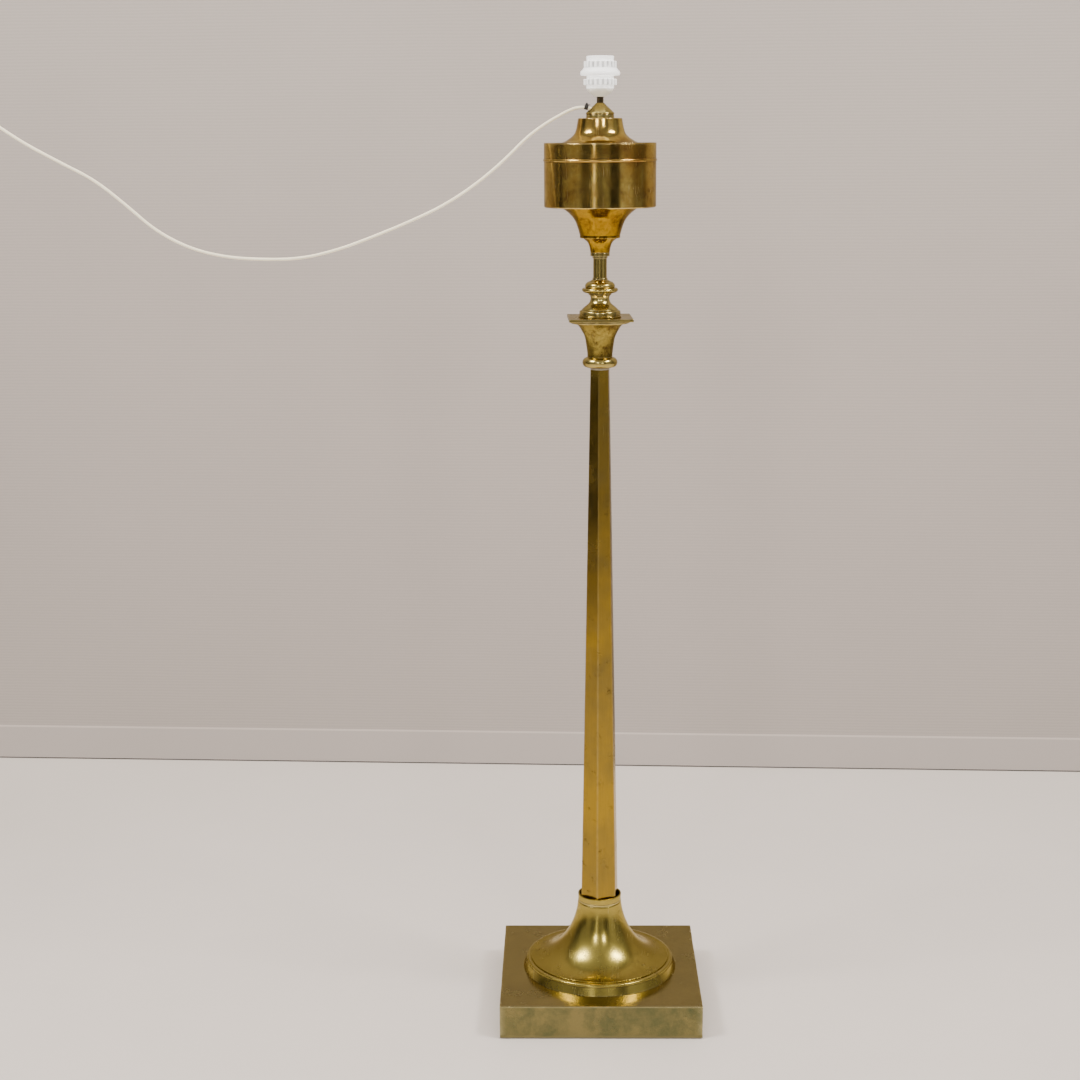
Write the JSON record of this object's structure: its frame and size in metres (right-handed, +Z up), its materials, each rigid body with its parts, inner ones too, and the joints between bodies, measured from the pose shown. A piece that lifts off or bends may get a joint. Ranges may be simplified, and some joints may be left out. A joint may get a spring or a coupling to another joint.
{
  "type": "electrified brass column floor lamp",
  "caption": "Brass column floor lamp in oil-lamp style: square plinth, bell foot, tapered hexagonal column, capital, knop, drum font and white screw lampholder, with its flex",
  "frame": {"origin": "centre of the underside of the plinth, on the floor", "axes": "+Z up along the lamp axis; the front face of the plinth looks along -Y; the flex leaves towards -X"},
  "size_m": [1.0939, 0.3, 1.4162],
  "materials": {
    "felt": "dull needled felt",
    "plinth_brass": "dull, mottled olive brass with dark edges",
    "steel": "plain zinc-plated steel",
    "cast_iron": "rough casting, painted",
    "plain_brass": "as cut",
    "foot_brass": "spun and lightly polished, light patina",
    "column_brass": "brushed along its length, brown patina",
    "collar_metal": "pale worn plating",
    "turned_brass": "turned and polished, dark in the grooves",
    "stem_brass": "drawn tube, polished",
    "amber_brass": "polished, amber patina",
    "drum_brass": "polished sheet with fine scratches and brown stains at its edges",
    "black_steel": "blackened thread, worn to brass below",
    "holder_plastic": "glossy white moulding",
    "holder_insulator": "unglazed white",
    "contact_metal": "bright nickel plating",
    "lead_insulation": "thin coloured insulation",
    "flex_sheath": "smooth ivory flex",
    "grip_plastic": "black nylon",
    "plug_plastic": "moulded ivory plastic",
    "hook_steel": "bright plated steel"
  },
  "bodies": {
    "stand": {"abacus": "turned_brass", "ballast_disc": "cast_iron", "base_felt": "felt", "base_nut": "steel", "base_washer": "steel", "bell_foot": "foot_brass", "bottom_cover": "steel", "capital_bell": "turned_brass", "capital_rim": "turned_brass", "capital_torus": "turned_brass", "coil_tie": "grip_plastic", "column": "column_brass", "column_collar": "collar_metal", "column_foot_plug": "plain_brass", "column_top_plug": "plain_brass", "cone_cap": "turned_brass", "cone_nut": "steel", "contact_block": "holder_insulator", "cord_grip": "grip_plastic", "cord_hook": "hook_steel", "corner_blocks": "plain_brass", "cover_screws": "steel", "drum_body": "drum_brass", "drum_nut": "steel", "drum_washer": "steel", "flex_coil": "flex_sheath", "flex_span": "flex_sheath", "flex_tail": "flex_sheath", "foot_ring": "foot_brass", "funnel_collar": "turned_brass", "holder_cap": "holder_plastic", "inner_leads": "lead_insulation", "knop_baluster": "turned_brass", "knop_bead": "turned_brass", "knop_disc": "turned_brass", "large_funnel": "amber_brass", "lid_neck": "drum_brass", "neck_collar": "turned_brass", "neck_nut": "steel", "nipple": "black_steel", "plinth_shell": "plinth_brass", "plug_body": "plug_plastic", "plug_pins": "contact_metal", "screw_shell": "contact_metal", "small_funnel": "amber_brass", "stem_foot_ring": "turned_brass", "stem_top_ring": "turned_brass", "stem_tube": "stem_brass", "terminal_screws": "contact_metal", "tie_rod": "steel"},
    "sleeve": {"holder_sleeve": "holder_plastic"},
    "lower_ring": {"shade_ring_lower": "holder_plastic"},
    "upper_ring": {"shade_ring_upper": "holder_plastic"},
    "contact": {"centre_contact": "contact_metal"}
  },
  "joints": [
    {"name": "sleeve_lift", "type": "slide", "parent": "stand", "child": "sleeve", "axis": [0, 0, 1], "range_m": [0, 0.045]},
    {"name": "lower_ring_lift", "type": "slide", "parent": "sleeve", "child": "lower_ring", "axis": [0, 0, 1], "range_m": [0, 0.042]},
    {"name": "upper_ring_lift", "type": "slide", "parent": "lower_ring", "child": "upper_ring", "axis": [0, 0, 1], "range_m": [0, 0.03]},
    {"name": "contact_press", "type": "slide", "parent": "stand", "child": "contact", "axis": [0, 0, -1], "range_m": [0, 0.0015], "stiffness_N_per_m": 200}
  ]
}
